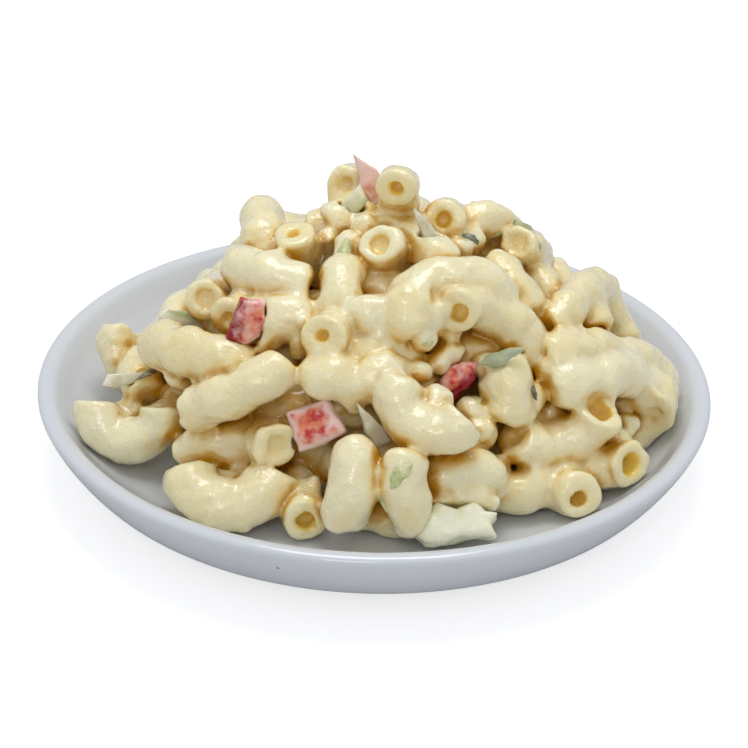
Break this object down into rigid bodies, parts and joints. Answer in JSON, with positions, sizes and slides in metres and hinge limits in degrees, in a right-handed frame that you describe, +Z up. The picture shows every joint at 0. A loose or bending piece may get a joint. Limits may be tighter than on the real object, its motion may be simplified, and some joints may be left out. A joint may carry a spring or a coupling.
{
  "type": "pasta salad on a plate",
  "caption": "Macaroni salad: elbow macaroni in creamy dressing with bits of red pepper, celery and onion, heaped on a shallow round white dish.",
  "frame": {"origin": "middle of the plate's foot, at the level of the surface it stands on", "axes": "+Z up through the middle of the plate, -Y toward the salad's front as pictured, +X to the right"},
  "size_m": [0.15, 0.15, 0.0701],
  "materials": {
    "china": "glossy white glaze",
    "dressed_pasta": "soft pale yellow pasta under a wet creamy coat",
    "red_pepper": "moist, red with a pale pink cut face",
    "onion": "moist and translucent",
    "celery": "moist pale green"
  },
  "bodies": {
    "root": {"plate": "china", "macaroni_heap": "dressed_pasta", "red_pepper_left": "red_pepper", "red_pepper_front": "red_pepper", "red_pepper_right": "red_pepper", "red_pepper_top": "red_pepper", "red_pepper_strip": "red_pepper", "onion_top": "onion", "onion_left": "onion", "onion_centre": "onion", "celery_left": "celery", "celery_front": "celery", "celery_top": "celery", "celery_right": "celery", "celery_back": "celery", "celery_shoulder": "celery"}
  },
  "joints": []
}
